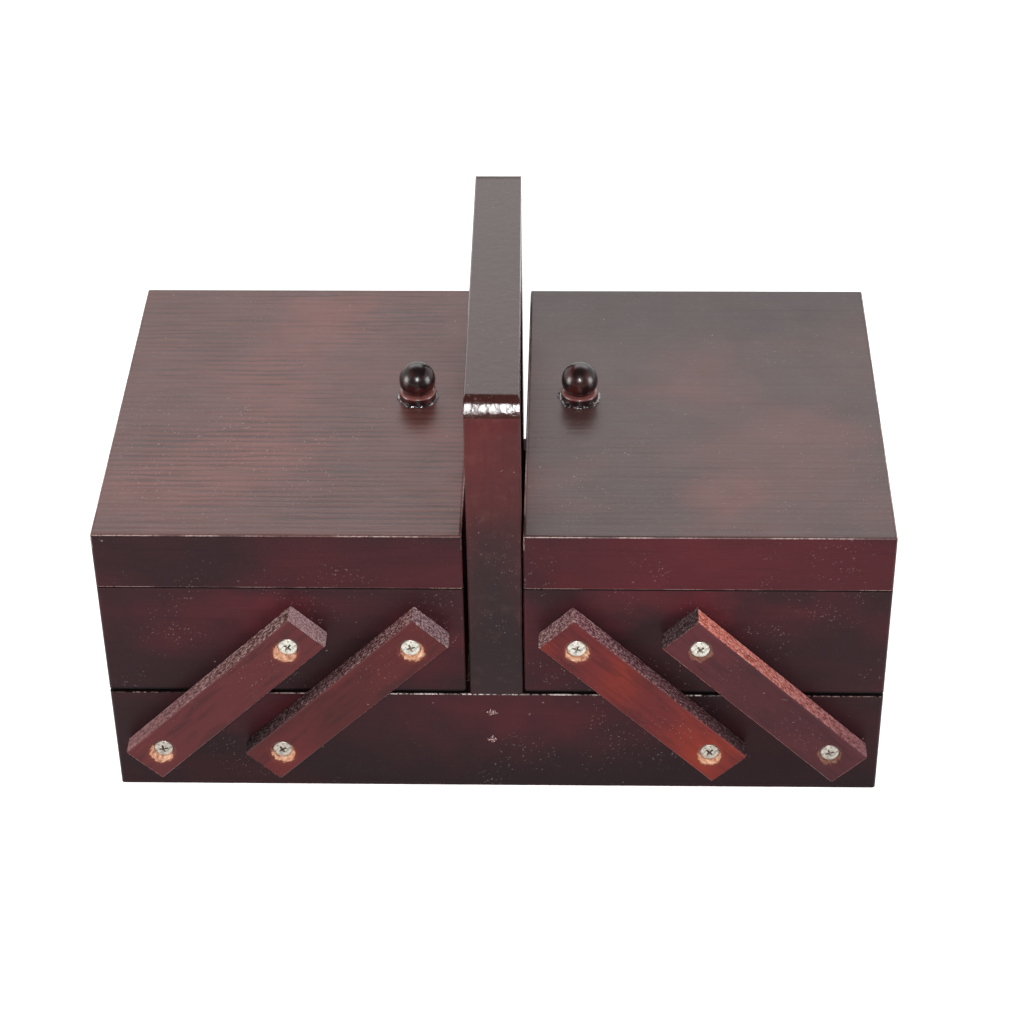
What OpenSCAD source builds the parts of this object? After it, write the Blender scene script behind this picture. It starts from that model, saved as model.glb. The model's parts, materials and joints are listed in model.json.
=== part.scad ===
// Sewing carrier: a wooden base tray with a fixed handle, and two upper trays with hinged lids.
// Each upper tray hangs on four parallel arms, two in front and two behind, and swings up and out.
// X runs along the width, Y from front to back and Z up, and the origin is the middle of the underside.

/* [Box] */
// Overall width of the box, without the hinge barrels
body_w = 270; // [240:1:400]
// Overall depth of the box, without the arms
body_d = 153; // [120:1:260]
// Height of the base tray
base_h = 43; // [38:0.5:60]
// Height of each upper tray
tray_h = 45.3; // [40:0.1:90]
// Height of each lid
lid_h = 22.2; // [14:0.1:60]
// Width of the slot between the upper trays, where the handle stands
bay_w = 20.3; // [20:0.1:40]
// Shadow gap between the base and the closed upper trays
tray_gap = 1.5; // [0.4:0.1:4]
// Seam between an upper tray and its closed lid
lid_seam = 0.3; // [0.2:0.1:0.8]

/* [Boards] */
// Thickness of the walls
wall_t = 7.5; // [6:0.5:12]
// Thickness of the plywood bottoms
bottom_t = 3; // [2:0.5:6]
// Thickness of the lid tops
lid_top_t = 6; // [4:0.5:10]
// Depth of the rebates that hold the end walls and the bottoms
rebate_d = 3; // [1.5:0.5:4]
// Radius of the upright outer corners
corner_r = 1.2; // [0.5:0.1:1.9]
// Radius of the edge round a lid top
lid_edge_r = 1.2; // [0.5:0.1:3]

/* [Arms] */
// Distance between the two screws of an arm
arm_c = 66; // [52:1:75]
// Width of an arm
arm_w = 17; // [14:0.5:22]
// Thickness of an arm
arm_t = 8; // [6:0.5:12]
// Length of arm past each screw
arm_end = 10; // [8:0.5:14]
// Chamfer on the long edges of an arm
arm_chamfer = 0.6; // [0.2:0.1:1.5]
// Height of the base screws above the table
base_pivot_z = 23; // [18:0.5:30]
// Height of the tray screws above the tray's underside
tray_pivot_z = 25.2; // [20:0.1:30]
// Distance from the end of the base to its outer screw
outer_inset = 18; // [14:0.5:30]
// Distance from a tray's inner wall to its inner screw
inner_inset = 18.2; // [14:0.1:30]
// Gap between an arm and the face that it swings over
arm_gap = 0.3; // [0.2:0.1:1]

/* [Pivot screws] */
// Shank diameter of the pivot screws
screw_d = 3; // [2.5:0.1:4]
// Head diameter of the pivot screws
screw_head_d = 6.7; // [5.5:0.1:8]
// Depth of the screw head below the arm's face
screw_sink = 1; // [0.4:0.1:2]
// Mouth diameter of the countersink in the arm
countersink_d = 10; // [9:0.5:12]
// Wood left in front of a screw tip
tip_cover = 0.8; // [0.4:0.1:2]

/* [Handle] */
// Clear height between the lids and the grip
hand_room = 42.7; // [30:0.1:80]
// Thickness of the grip bar
grip_t = 10; // [8:0.5:16]
// Thickness of the tongues that stand inside the base
tongue_t = 6.5; // [4:0.5:10]
// Width of the front leg
front_leg_w = 18.3; // [12:0.1:18.8]
// Width of the back leg
back_leg_w = 16.6; // [12:0.1:17.8]
// Sideways place of the front leg in the slot
front_leg_x = 0.45; // [-0.5:0.05:0.5]
// Sideways place of the back leg in the slot
back_leg_x = -1.2; // [-1.2:0.05:0.5]
// Radius of the grip's outer corners
grip_r = 8; // [2:0.5:9]
// Chamfer on the long edges of the handle
handle_chamfer = 0.5; // [0.3:0.1:1.5]
// Heights of the two nails in each leg
nail_z = [22, 34.5];
// Sideways place of the nails
nail_x = -1.3; // [-4:0.1:4]
// Shank diameter of the nails
nail_d = 1.6; // [1.2:0.1:2]
// Head diameter of the nails
nail_head_d = 2.8; // [2.4:0.1:3.4]
// Length of the nails
nail_l = 12; // [11:0.5:13]

/* [Hinges] */
// Length of a hinge
hinge_l = 25; // [20:1:30]
// Width of a hinge leaf on the wood
leaf_w = 6.4; // [5:0.2:9]
// Thickness of a hinge leaf
leaf_t = 0.8; // [0.6:0.1:1]
// Outer diameter of the hinge barrel
barrel_d = 3.5; // [3.2:0.1:5]
// Diameter of the hinge pin
pin_d = 1.5; // [1.2:0.1:1.8]
// Distance from the front and the back of the box to the nearest hinge's end
hinge_inset = 27; // [8:1:30]
// Distance between the two screws of a leaf
leaf_screw_c = 16; // [10:1:18]
// Shank diameter of the hinge screws
leaf_screw_d = 1.8; // [1.4:0.1:2]
// Head diameter of the hinge screws
leaf_screw_head_d = 3.4; // [3:0.1:4]
// Length of the hinge screws
leaf_screw_l = 7; // [5:0.5:10]

/* [Knobs] */
// Diameter of the knob's ball
ball_d = 12.6; // [9:0.1:18]
// Height of the ball's centre above the lid
ball_z = 7.5; // [6.8:0.1:12]
// Diameter of the turned collar under the ball
collar_d = 13; // [10:0.1:18]
// Height of the collar
collar_h = 3.2; // [2:0.1:5]
// Distance from the lid's inner edge to the knob
knob_inset = 18.75; // [15:0.25:40]
// Distance of the knob behind the middle of the lid
knob_y = 5.5; // [-20:0.5:20]
// Depth of the knob's screw hole
knob_hole = 8; // [5:0.5:10]

/* [Fits] */
// Radial room of an arm on its screw
pivot_fit = 0.05; // [0.02:0.01:0.1]
// Room round a screw head in an arm
head_fit = 0.25; // [0.1:0.05:0.5]
// Radial room of the turning knuckles on the pin
knuckle_fit = 0.05; // [0.02:0.01:0.1]
// Room round what is fixed in its hole or mortise
fixed_fit = 0.02; // [0.01:0.01:0.05]
// Room between neighbouring hinge knuckles
knuckle_gap = 0.2; // [0.1:0.05:0.4]
// Room between a hinge barrel and the wood beside it
barrel_gap = 0.15; // [0.1:0.05:0.4]

/* [Hidden] */
$fn = 64;
eps = 1;
SIDES = ["left", "right"];
FACES = ["front", "back"];
tray_z = base_h + tray_gap;
lid_z = tray_z + tray_h + lid_seam;
lid_top_z = lid_z + lid_h;
rail_h = lid_h - lid_top_t;
grip_z = lid_top_z + hand_room;
handle_h = grip_z + grip_t;
bay = bay_w / 2;
half_w = body_w / 2;
half_d = body_d / 2;
tray_w = half_w - bay;
lip_t = wall_t - rebate_d;
leg_t = wall_t + tongue_t;
// The arms' lean follows from their length and from the heights of their screws
arm_rise = tray_z + tray_pivot_z - base_pivot_z;
arm_lean = asin(arm_rise / arm_c);
arm_run = arm_c * cos(arm_lean);
outer_pivot_x = half_w - outer_inset;
inner_pivot_x = bay + inner_inset + arm_run;
base_pivots = [inner_pivot_x, outer_pivot_x];
tray_pivots = [for (x = base_pivots) x - arm_run];
arm_face = half_d + arm_gap + arm_t;
screw_l = arm_gap + arm_t - screw_sink + wall_t - tip_cover;
screw_rim = 0.2;
screw_tip = 2.5;
hinge_x = half_w + barrel_gap + barrel_d / 2;
hinge_y = half_d - hinge_inset - hinge_l / 2;
hinge_z = lid_z - lid_seam / 2;
leaf_screw_x = half_w - leaf_w / 2;
knuckles = 5;
knob_x = bay + knob_inset;
knob_screw_l = lid_top_t + knob_hole - tip_cover;
nail_head_t = 0.6;
nail_sink = 0.6;
stain = "#3f2629";
red_stain = "#5c2c2b";
dark_stain = "#2e1c20";
lid_stain = "#6d615f";
plywood = "#b98f5e";
zinc = "#b9bcc0";
brass = "#b08a3c";
steel = "#8d8f93";

BASE_NODES = [
    "base_front_panel", "base_back_panel", "base_left_end", "base_right_end", "base_bottom_panel",
    "handle_grip_bar", "handle_front_leg", "handle_back_leg", "handle_nails",
    "base_pivot_screws_front", "base_pivot_screws_back"
];
SIDE_NODES = [
    "tray_front_panel", "tray_back_panel", "tray_outer_wall", "tray_inner_wall", "tray_bottom_panel",
    "tray_pivot_screws_front", "tray_pivot_screws_back",
    "hinge_tray_leaves", "hinge_tray_screws", "hinge_pins",
    "arm_front_outer", "arm_front_inner", "arm_back_outer", "arm_back_inner",
    "lid_top_panel", "lid_front_rail", "lid_back_rail", "lid_outer_rail", "lid_inner_rail",
    "hinge_lid_leaves", "hinge_lid_screws", "lid_knob", "lid_knob_screw"
];

// Everything beside the handle is drawn on the right, and mirrored for the left
module on_side(side) {
    mirror([side == "left" ? 1 : 0, 0, 0]) children();
}

// Everything in front is drawn at the front, and mirrored for the back
module on_face(face) {
    mirror([0, face == "back" ? 1 : 0, 0]) children();
}

// What is taken off a square corner at the origin to round it
module corner_waste(r) {
    difference() {
        translate([-eps, -eps]) square(r + eps);
        translate([r, r]) circle(r);
    }
}

// A rectangle from the origin, rounded at the corners that the list names by their place along X and Y
module rounded_rect(w, h, r, corners) {
    difference() {
        square([w, h]);
        for (c = corners)
            translate([c[0] * w, c[1] * h])
                mirror([c[0], 0])
                    mirror([0, c[1]])
                        corner_waste(r);
    }
}

// A long front or back board from above: rounded outer corners, and rebates that take the end walls
module long_board_plan(length) {
    difference() {
        rounded_rect(length, wall_t, corner_r, [[0, 0], [1, 0]]);
        for (x = [-eps, length - wall_t])
            translate([x, lip_t]) square([wall_t + eps, rebate_d + eps]);
    }
}

// A long board standing on its edge, its outer face towards the front
module long_board(length, height, bottom_rebate) {
    difference() {
        linear_extrude(height) long_board_plan(length);
        if (bottom_rebate)
            translate([-eps, lip_t, -eps]) cube([length + 2 * eps, rebate_d + eps, bottom_t + eps]);
    }
}

// An end wall between two long boards, its outer face at x = 0 and the box towards -X
module end_board(height, bottom_rebate) {
    board_l = body_d - 2 * lip_t;
    difference() {
        translate([-wall_t, -board_l / 2, 0]) cube([wall_t, board_l, height]);
        if (bottom_rebate)
            translate([-wall_t - eps, -board_l / 2 - eps, -eps])
                cube([rebate_d + eps, board_l + 2 * eps, bottom_t + eps]);
    }
}

// A countersunk cross-head wood screw, its head at the origin and its tip towards -Z
module wood_screw(d, head_d, length) {
    cone_h = (head_d - d) / 2;
    difference() {
        rotate_extrude()
            polygon([
                [0, 0], [head_d / 2 - screw_rim, 0], [head_d / 2, -screw_rim],
                [d / 2, -screw_rim - cone_h], [d / 2, -length + screw_tip], [0, -length]
            ]);
        cross_recess(head_d);
    }
}

// The tapered cross that the screwdriver fits
module cross_recess(head_d) {
    depth = 0.3 * head_d;
    slot = 0.14 * head_d;
    intersection() {
        translate([0, 0, -depth]) cylinder(d1 = 0.2 * head_d, d2 = 0.72 * head_d, h = depth + 0.1);
        for (turn = [0, 90])
            rotate([0, 0, turn])
                translate([-head_d, -slot / 2, -head_d]) cube([2 * head_d, slot, 2 * head_d]);
    }
}

// A straight hole from the origin towards -Z
module drill(d, depth) {
    translate([0, 0, -depth]) cylinder(d = d, h = depth + eps);
}

// A hole with a seat for a countersunk head whose top lies at the origin
module seat_hole(d, head_d, room, depth) {
    mouth = head_d + 2 * room;
    rotate_extrude()
        polygon([
            [0, eps], [mouth / 2, eps], [mouth / 2, -screw_rim],
            [d / 2, -screw_rim - (mouth - d) / 2], [d / 2, -depth], [0, -depth]
        ]);
}

// Puts what points along Z at a pivot on the front, its top towards the viewer
module at_pivot(x, y, z) {
    translate([x, -y, z]) rotate([90, 0, 0]) children();
}

module pivot_screw(x, z) {
    color(zinc)
        at_pivot(x, arm_face - screw_sink, z)
            wood_screw(screw_d, screw_head_d, screw_l);
}

module pivot_holes(xs, z) {
    for (x = xs)
        at_pivot(x, half_d, z) drill(screw_d + 2 * fixed_fit, wall_t - tip_cover + fixed_fit);
}

// Base tray

module base_long_panel(face) {
    color(stain)
        on_face(face)
            difference() {
                translate([-half_w, -half_d, 0]) long_board(body_w, base_h, true);
                for (side = SIDES) on_side(side) pivot_holes(base_pivots, base_pivot_z);
                nail_holes();
            }
}

module nail_holes() {
    for (z = nail_z)
        at_pivot(nail_x, half_d, z) {
            drill(nail_d + 2 * fixed_fit, nail_l + nail_sink + fixed_fit);
            drill(nail_head_d + 2 * fixed_fit, nail_sink + nail_head_t);
        }
}

module base_end(side) {
    color(stain) on_side(side) translate([half_w, 0, 0]) end_board(base_h, true);
}

module base_bottom_panel() {
    panel_w = body_w - 2 * lip_t;
    panel_d = body_d - 2 * lip_t;
    color(plywood) translate([-panel_w / 2, -panel_d / 2, 0]) cube([panel_w, panel_d, bottom_t]);
}

module base_pivot_screws(face) {
    for (side = SIDES)
        on_side(side)
            on_face(face)
                for (x = base_pivots) pivot_screw(x, base_pivot_z);
}

// Handle

// The grip and both legs seen from the side, as one rounded frame
module handle_side_view() {
    difference() {
        translate([-half_d, 0]) rounded_rect(body_d, handle_h, grip_r, [[0, 1], [1, 1]]);
        translate([-half_d + leg_t, -eps]) square([body_d - 2 * leg_t, grip_z + eps]);
    }
}

// A block as long as the handle's frame, cut to its side view
module handle_frame() {
    rotate([90, 0, 90]) linear_extrude(bay_w, center = true) handle_side_view();
}

// Where the bar lies over a leg, from the lap's underside upwards
module leg_lap() {
    translate([-bay_w, -half_d - eps, handle_h - grip_t / 2]) cube([2 * bay_w, leg_t + eps, grip_t]);
}

// A strip with chamfered long edges, seen on its end and centred on X
module chamfered_strip(w, t) {
    c = handle_chamfer;
    polygon([
        [-w / 2 + c, 0], [w / 2 - c, 0], [w / 2, c], [w / 2, t - c],
        [w / 2 - c, t], [-w / 2 + c, t], [-w / 2, t - c], [-w / 2, c]
    ]);
}

function leg_w(face) = face == "front" ? front_leg_w : back_leg_w;
function leg_x(face) = face == "front" ? front_leg_x : back_leg_x;

module handle_leg(face) {
    color(dark_stain)
        difference() {
            intersection() {
                handle_frame();
                on_face(face)
                    translate([leg_x(face), -half_d, bottom_t])
                        linear_extrude(handle_h) chamfered_strip(leg_w(face), leg_t);
            }
            on_face(face) {
                leg_lap();
                translate([-bay_w, -half_d - eps, -eps]) cube([2 * bay_w, wall_t + eps, base_h + eps]);
                nail_holes();
            }
        }
}

// The bar from end to end, before its ends are rounded and lapped, as wide at each end as the leg there
module grip_blank() {
    hull()
        for (face = FACES)
            on_face(face)
                translate([leg_x(face), -half_d + eps, grip_z])
                    rotate([90, 0, 0]) linear_extrude(eps) chamfered_strip(leg_w(face), grip_t);
}

module handle_grip_bar() {
    color(dark_stain)
        difference() {
            intersection() {
                handle_frame();
                grip_blank();
            }
            for (face = FACES)
                on_face(face)
                    translate([-bay_w, -half_d - eps, grip_z - eps])
                        cube([2 * bay_w, leg_t + eps, grip_t / 2 + eps]);
        }
}

module handle_nails() {
    for (face = FACES)
        on_face(face)
            for (z = nail_z)
                color(steel)
                    at_pivot(nail_x, half_d - nail_sink, z) {
                        translate([0, 0, -nail_head_t]) cylinder(d = nail_head_d, h = nail_head_t);
                        translate([0, 0, -nail_l]) cylinder(d = nail_d, h = nail_l - nail_head_t / 2);
                    }
}

// Upper trays

module tray_long_panel(side, face) {
    color(stain)
        on_side(side)
            on_face(face)
                difference() {
                    translate([bay, -half_d, tray_z]) long_board(tray_w, tray_h, true);
                    pivot_holes(tray_pivots, tray_z + tray_pivot_z);
                }
}

module tray_outer_wall(side) {
    color(stain)
        on_side(side)
            difference() {
                translate([half_w, 0, tray_z]) end_board(tray_h, true);
                at_hinges() hinge_mortise();
            }
}

module tray_inner_wall(side) {
    color(stain)
        on_side(side)
            translate([bay, 0, tray_z]) mirror([1, 0, 0]) end_board(tray_h, true);
}

module tray_bottom_panel(side) {
    panel_d = body_d - 2 * lip_t;
    color(plywood)
        on_side(side)
            translate([bay + lip_t, -panel_d / 2, tray_z]) cube([tray_w - 2 * lip_t, panel_d, bottom_t]);
}

module tray_pivot_screws(side, face) {
    on_side(side)
        on_face(face)
            for (x = tray_pivots) pivot_screw(x, tray_z + tray_pivot_z);
}

// Hinges: the tray leaf lies under the seam and carries the pin, and the lid leaf lies over it

// Both hinges of a side, with the seam's middle at the pin's height as z = 0
module at_hinges() {
    for (y = [-hinge_y, hinge_y]) translate([0, y, hinge_z]) children();
}

// The recess for one leaf in the wall under the seam, with its screw holes
module hinge_mortise() {
    leaf_l = hinge_l + 2 * fixed_fit;
    translate([half_w - leaf_w - fixed_fit, -leaf_l / 2, -lid_seam / 2 - leaf_t])
        cube([leaf_w + fixed_fit + eps, leaf_l, leaf_t + eps]);
    leaf_screw_seats(leaf_screw_l + fixed_fit);
}

// The holes for a leaf's screws, countersunk from the leaf's face
module leaf_screw_seats(depth) {
    at_leaf_screws() seat_hole(leaf_screw_d + 2 * fixed_fit, leaf_screw_head_d, fixed_fit, depth);
}

module at_leaf_screws() {
    for (y = [-leaf_screw_c / 2, leaf_screw_c / 2])
        translate([leaf_screw_x, y, -lid_seam / 2]) children();
}

// One leaf under the seam, with the knuckles that the list counts from the front
module hinge_leaf(own, bore_d) {
    pitch = hinge_l / knuckles;
    plate_l = leaf_w - barrel_gap;
    difference() {
        union() {
            translate([half_w - leaf_w, -hinge_l / 2, -lid_seam / 2 - leaf_t]) cube([plate_l, hinge_l, leaf_t]);
            for (k = own)
                translate([0, -hinge_l / 2 + k * pitch + knuckle_gap / 2, 0]) {
                    translate([half_w - leaf_w / 2, 0, -lid_seam / 2 - leaf_t])
                        cube([hinge_x - half_w + leaf_w / 2, pitch - knuckle_gap, leaf_t]);
                    translate([hinge_x, 0, 0])
                        rotate([-90, 0, 0]) cylinder(d = barrel_d, h = pitch - knuckle_gap);
                }
        }
        translate([hinge_x, -hinge_l, 0]) rotate([-90, 0, 0]) cylinder(d = bore_d, h = 2 * hinge_l);
        leaf_screw_seats(leaf_t + eps);
    }
}

module hinge_tray_leaves(side) {
    color(brass) on_side(side) at_hinges() hinge_leaf([0, 2, 4], pin_d + 2 * fixed_fit);
}

module hinge_lid_leaves(side) {
    color(brass) on_side(side) at_hinges() mirror([0, 0, 1]) hinge_leaf([1, 3], pin_d + 2 * knuckle_fit);
}

module hinge_pins(side) {
    color(steel)
        on_side(side)
            at_hinges()
                translate([hinge_x, -hinge_l / 2, 0]) rotate([-90, 0, 0]) cylinder(d = pin_d, h = hinge_l);
}

module hinge_tray_screws(side) {
    color(brass)
        on_side(side)
            at_hinges() at_leaf_screws() wood_screw(leaf_screw_d, leaf_screw_head_d, leaf_screw_l);
}

module hinge_lid_screws(side) {
    color(brass)
        on_side(side)
            at_hinges()
                mirror([0, 0, 1])
                    at_leaf_screws() wood_screw(leaf_screw_d, leaf_screw_head_d, leaf_screw_l);
}

// Arms

// An arm along +X from its base screw at the origin, its back at y = 0 and its face towards -Y
module arm_blank() {
    c = arm_chamfer;
    w = arm_w / 2;
    translate([-arm_end, 0, 0])
        rotate([90, 0, 90])
            linear_extrude(arm_c + 2 * arm_end)
                polygon([
                    [-c, -w], [0, -w + c], [0, w - c], [-c, w],
                    [-arm_t + c, w], [-arm_t, w - c], [-arm_t, -w + c], [-arm_t + c, -w]
                ]);
}

// The open countersink, the head's seat and the bore that the screw's shank turns in
module arm_bore() {
    bore_d = screw_d + 2 * pivot_fit;
    seat_d = screw_head_d + 2 * head_fit;
    translate([0, 0, -screw_sink]) cylinder(d1 = seat_d, d2 = countersink_d, h = screw_sink);
    translate([0, 0, -screw_sink]) seat_hole(bore_d, screw_head_d, head_fit, arm_t);
}

module arm(side, face, place) {
    x = place == "outer" ? outer_pivot_x : inner_pivot_x;
    color(red_stain)
        on_side(side)
            on_face(face)
                translate([x, -half_d - arm_gap, base_pivot_z])
                    rotate([0, -(180 - arm_lean), 0])
                        difference() {
                            arm_blank();
                            for (along = [0, arm_c])
                                at_pivot(along, arm_t, 0) arm_bore();
                        }
}

// Lids

module lid_top_panel(side) {
    color(lid_stain)
        on_side(side)
            difference() {
                translate([bay, -half_d, lid_z + rail_h]) lid_board();
                translate([knob_x, knob_y, lid_z + rail_h])
                    mirror([0, 0, 1])
                        seat_hole(screw_d + 2 * fixed_fit, screw_head_d, fixed_fit, lid_top_t + eps);
            }
}

// The lid's board from the origin, with rounded corners and a rounded edge all round its top
module lid_board() {
    every_corner = [[0, 0], [1, 0], [0, 1], [1, 1]];
    top_corners = [[0, 1], [1, 1]];
    intersection() {
        linear_extrude(lid_top_t) rounded_rect(tray_w, body_d, corner_r, every_corner);
        translate([0, body_d, 0])
            rotate([90, 0, 0])
                linear_extrude(body_d) rounded_rect(tray_w, lid_top_t, lid_edge_r, top_corners);
        rotate([90, 0, 90]) linear_extrude(tray_w) rounded_rect(body_d, lid_top_t, lid_edge_r, top_corners);
    }
}

module lid_long_rail(side, face) {
    color(stain)
        on_side(side)
            on_face(face)
                translate([bay, -half_d, lid_z]) long_board(tray_w, rail_h, false);
}

module lid_outer_rail(side) {
    color(stain)
        on_side(side)
            difference() {
                translate([half_w, 0, lid_z]) end_board(rail_h, false);
                at_hinges() mirror([0, 0, 1]) hinge_mortise();
            }
}

module lid_inner_rail(side) {
    color(stain)
        on_side(side)
            translate([bay, 0, lid_z]) mirror([1, 0, 0]) end_board(rail_h, false);
}

// A turned ball on a round-edged collar, with a blind hole for its screw
module lid_knob(side) {
    edge_r = 0.6;
    color(dark_stain)
        on_side(side)
            translate([knob_x, knob_y, lid_top_z])
                difference() {
                    union() {
                        rotate_extrude() rounded_rect(collar_d / 2, collar_h, edge_r, [[1, 1]]);
                        translate([0, 0, ball_z]) sphere(d = ball_d);
                    }
                    mirror([0, 0, 1]) drill(screw_d + 2 * fixed_fit, knob_hole);
                }
}

module lid_knob_screw(side) {
    color(zinc)
        on_side(side)
            translate([knob_x, knob_y, lid_z + rail_h])
                mirror([0, 0, 1]) wood_screw(screw_d, screw_head_d, knob_screw_l);
}

base_long_panel("front");  // base_front_panel
base_long_panel("back");  // base_back_panel
base_end("left");  // base_left_end
base_end("right");  // base_right_end
base_bottom_panel();
handle_grip_bar();
handle_leg("front");  // handle_front_leg
handle_leg("back");  // handle_back_leg
handle_nails();
base_pivot_screws("front");  // base_pivot_screws_front
base_pivot_screws("back");  // base_pivot_screws_back
for (side = SIDES) {
    tray_long_panel(side, "front");
    tray_long_panel(side, "back");
    tray_outer_wall(side);
    tray_inner_wall(side);
    tray_bottom_panel(side);
    tray_pivot_screws(side, "front");
    tray_pivot_screws(side, "back");
    hinge_tray_leaves(side);
    hinge_tray_screws(side);
    hinge_pins(side);
    arm(side, "front", "outer");
    arm(side, "front", "inner");
    arm(side, "back", "outer");
    arm(side, "back", "inner");
    lid_top_panel(side);
    lid_long_rail(side, "front");
    lid_long_rail(side, "back");
    lid_outer_rail(side);
    lid_inner_rail(side);
    hinge_lid_leaves(side);
    hinge_lid_screws(side);
    lid_knob(side);
    lid_knob_screw(side);
}
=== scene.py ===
"""A small stained wooden sewing carrier.

A base tray carries a handle, and two upper trays with lids swing out over its ends on arms.
"""
import json
import math
import random

import bpy
from mathutils import Matrix, Vector

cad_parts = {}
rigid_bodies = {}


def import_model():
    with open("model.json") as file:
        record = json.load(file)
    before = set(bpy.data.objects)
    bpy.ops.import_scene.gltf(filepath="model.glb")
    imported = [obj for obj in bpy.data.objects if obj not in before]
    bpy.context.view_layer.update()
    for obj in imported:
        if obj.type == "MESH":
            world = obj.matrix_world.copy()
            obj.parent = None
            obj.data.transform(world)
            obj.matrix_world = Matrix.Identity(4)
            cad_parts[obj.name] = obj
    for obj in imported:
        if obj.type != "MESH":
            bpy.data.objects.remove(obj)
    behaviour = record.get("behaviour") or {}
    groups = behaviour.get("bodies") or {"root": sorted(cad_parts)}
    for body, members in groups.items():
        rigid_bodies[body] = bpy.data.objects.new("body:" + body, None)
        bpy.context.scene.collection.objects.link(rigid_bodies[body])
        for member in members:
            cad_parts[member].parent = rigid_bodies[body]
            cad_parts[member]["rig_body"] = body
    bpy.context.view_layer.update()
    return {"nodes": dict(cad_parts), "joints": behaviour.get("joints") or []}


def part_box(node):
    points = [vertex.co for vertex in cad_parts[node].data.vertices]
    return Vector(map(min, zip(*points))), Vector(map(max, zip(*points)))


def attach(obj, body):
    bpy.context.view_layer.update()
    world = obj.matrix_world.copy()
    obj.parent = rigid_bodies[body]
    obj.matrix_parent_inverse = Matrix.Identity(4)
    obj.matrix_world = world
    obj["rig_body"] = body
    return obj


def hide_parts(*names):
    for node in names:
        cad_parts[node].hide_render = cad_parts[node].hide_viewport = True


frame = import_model()

# Camera
# It stands in front of the box, a little to the right, and looks down on the lids at 37 degrees.
# The frame is square, and the lens is a long one.
camera_place = (0.0295, -0.7951, 0.6676)
camera_turn = math.radians(1.815)
camera_down = math.radians(37.154)
camera_roll = math.radians(-0.831)
bpy.ops.object.camera_add()
camera = bpy.context.object
camera.matrix_world = (
    Matrix.Translation(camera_place)
    @ Matrix.Rotation(camera_turn, 4, "Z")
    @ Matrix.Rotation(math.pi / 2 - camera_down, 4, "X")
    @ Matrix.Rotation(camera_roll, 4, "Z")
)
camera.data.sensor_width = 36
camera.data.lens = 95.8
camera.data.clip_end = 50
bpy.context.scene.camera = camera
bpy.context.scene.view_settings.view_transform = "Standard"


# Studio
# A pale floor, and a white backdrop that reflections show dark overhead and in front. A soft box
# stands at each side, a small one in front, and a wide one behind lays a sheen on the lids.
class Wire:
    """A socket of a material's nodes. Sums on it add Math nodes, and node() adds any other kind."""

    def __init__(self, tree, socket=None):
        self.tree = tree
        self.socket = socket

    def node(self, kind, inputs, out=0, **settings):
        made = self.tree.nodes.new("ShaderNode" + kind)
        for name, value in settings.items():
            setattr(made, name, value)
        for name, value in inputs.items():
            if isinstance(value, Wire):
                self.tree.links.new(value.socket, made.inputs[name])
            else:
                made.inputs[name].default_value = value
        return Wire(self.tree, made.outputs[out] if len(made.outputs) else None)

    def beside(self, out):
        """Another output of the node that this socket belongs to."""
        return Wire(self.tree, self.socket.node.outputs[out])

    def sum(self, operation, *values):
        return self.node("Math", dict(enumerate(values)), operation=operation)

    def __add__(self, other):
        return self.sum("ADD", self, other)

    def __sub__(self, other):
        return self.sum("SUBTRACT", self, other)

    def __rsub__(self, other):
        return self.sum("SUBTRACT", other, self)

    def __mul__(self, other):
        return self.sum("MULTIPLY", self, other)

    def __truediv__(self, other):
        return self.sum("DIVIDE", self, other)

    __radd__ = __add__
    __rmul__ = __mul__

    def within(self, low, high):
        """0 below low, 1 above high, and smooth between."""
        limits = {"Value": self, "From Min": low, "From Max": high}
        return self.node("MapRange", limits, interpolation_type="SMOOTHSTEP")

    def clamped(self):
        return self.node("Clamp", {"Value": self})


def paint(code):
    """A colour as the shader takes it, from its six hexadecimal digits."""
    parts = [int(code[i:i + 2], 16) / 255 for i in (0, 2, 4)]
    return (*[((c + 0.055) / 1.055) ** 2.4 if c > 0.04045 else c / 12.92 for c in parts], 1)


def mixed(a, b, amount):
    """Colour a, with as much of colour b over it as amount says."""
    return amount.node("Mix", {0: amount, 6: a, 7: b}, out=2, data_type="RGBA")


def seen_rays(start):
    """1 for what the camera sees, in a reflection too, and 0 for the light that falls on the box.

    Gives the rays that come straight from the camera too.
    """
    path = start.node("LightPath", {}, out="Is Camera Ray")
    seen = path + path.beside("Is Glossy Ray") + path.beside("Is Transmission Ray")
    return seen.clamped(), path


white = (1, 1, 1, 1)
floor_size = 9
floor_paint = paint("e2e2e2")
floor_glow = 0.66
bpy.ops.object.select_all(action="DESELECT")
bpy.ops.mesh.primitive_plane_add(size=floor_size)
floor = bpy.context.object
floor.name = "floor"
floor_finish = bpy.data.materials.new("floor")
floor_finish.use_nodes = True
floor_finish.node_tree.nodes.clear()
start = Wire(floor_finish.node_tree)
glow = start.node("Emission", {"Color": white, "Strength": seen_rays(start)[0] * floor_glow})
both = start.node("AddShader", {0: start.node("BsdfDiffuse", {"Color": floor_paint}), 1: glow})
start.node("OutputMaterial", {"Surface": both})
floor.data.materials.append(floor_finish)

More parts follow.
